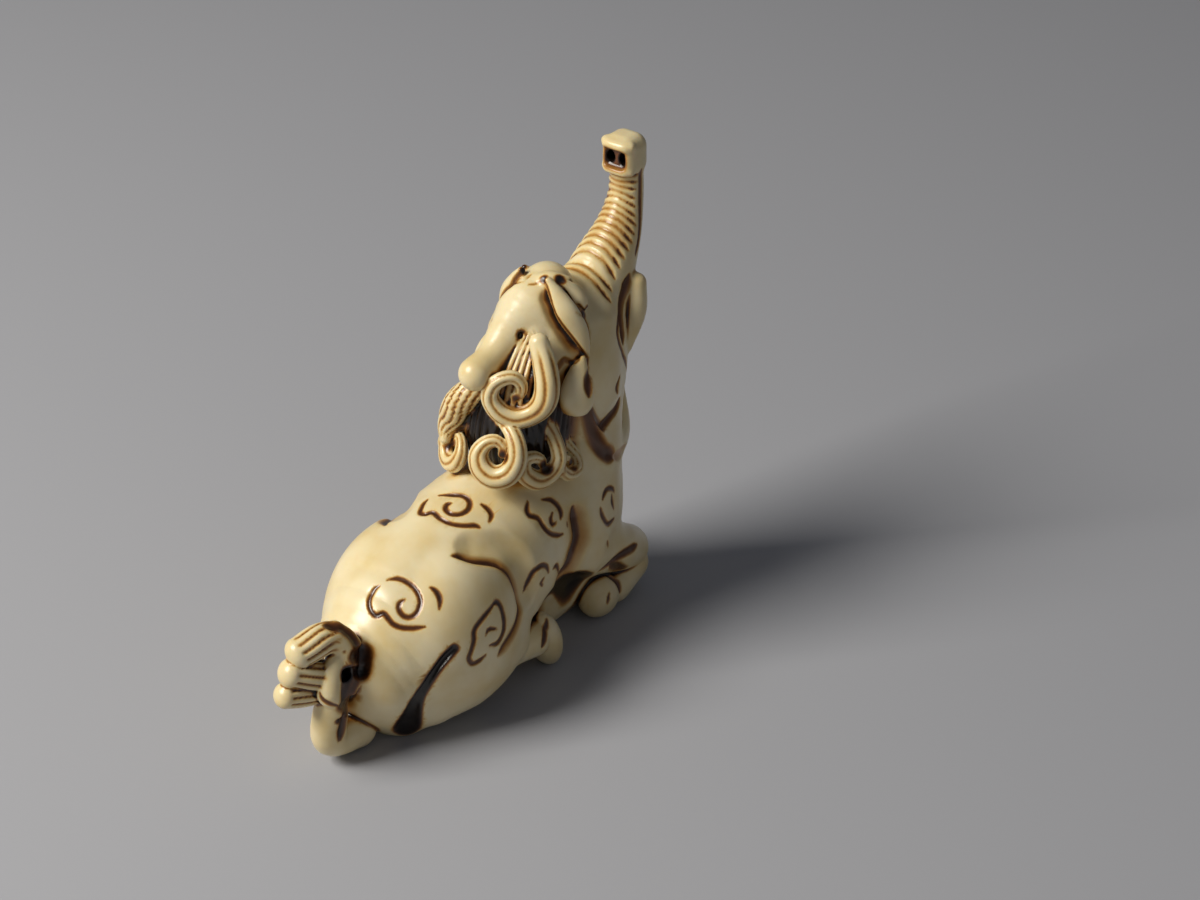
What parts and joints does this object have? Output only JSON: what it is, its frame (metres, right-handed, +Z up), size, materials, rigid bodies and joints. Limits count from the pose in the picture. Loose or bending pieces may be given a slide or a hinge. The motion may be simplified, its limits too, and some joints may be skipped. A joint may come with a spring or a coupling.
{
  "type": "netsuke",
  "caption": "Carved ivory toggle in the form of a crouching dream-eating beast with raised ringed trunk, curled mane, tusks and tufted tail, to hang from a cord at a sash.",
  "frame": {"origin": "under the middle of the whole length and width, on the plane the carving rests on", "axes": "+X towards the beast's face, +Y to its left, +Z up along the raised trunk"},
  "size_m": [0.051, 0.0182, 0.0475],
  "materials": {
    "ivory": "polished carved ivory with honey patina and dark stain in the cuts"
  },
  "bodies": {
    "root": {"netsuke": "ivory"}
  },
  "joints": []
}
